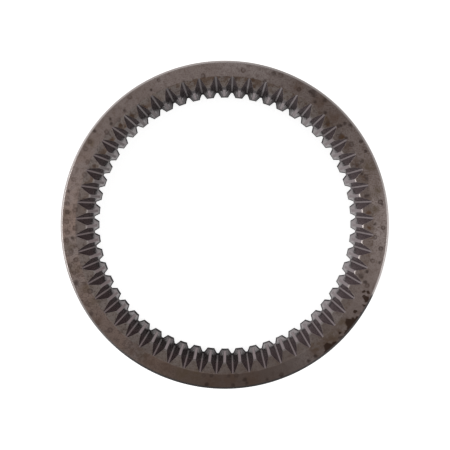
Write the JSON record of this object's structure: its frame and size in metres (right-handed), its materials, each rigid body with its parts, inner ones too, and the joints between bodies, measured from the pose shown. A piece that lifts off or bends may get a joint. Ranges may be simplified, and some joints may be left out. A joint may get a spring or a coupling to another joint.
{
  "type": "internal ring gear",
  "caption": "Plain-rimmed steel ring with straight internal gear teeth, coned tooth ends at the front face and a tapered mouth at the rear.",
  "frame": {"origin": "centre of the rear face, on the gear's axis", "axes": "+Z along the gear's axis towards the front face, which has the coned tooth ends; +X through the middle of a tooth"},
  "size_m": [0.257, 0.257, 0.064],
  "materials": {
    "bare_steel": "turned and cut steel, dulled by oil, with water marks and light rust"
  },
  "bodies": {
    "root": {"ring_gear": "bare_steel"}
  },
  "joints": []
}
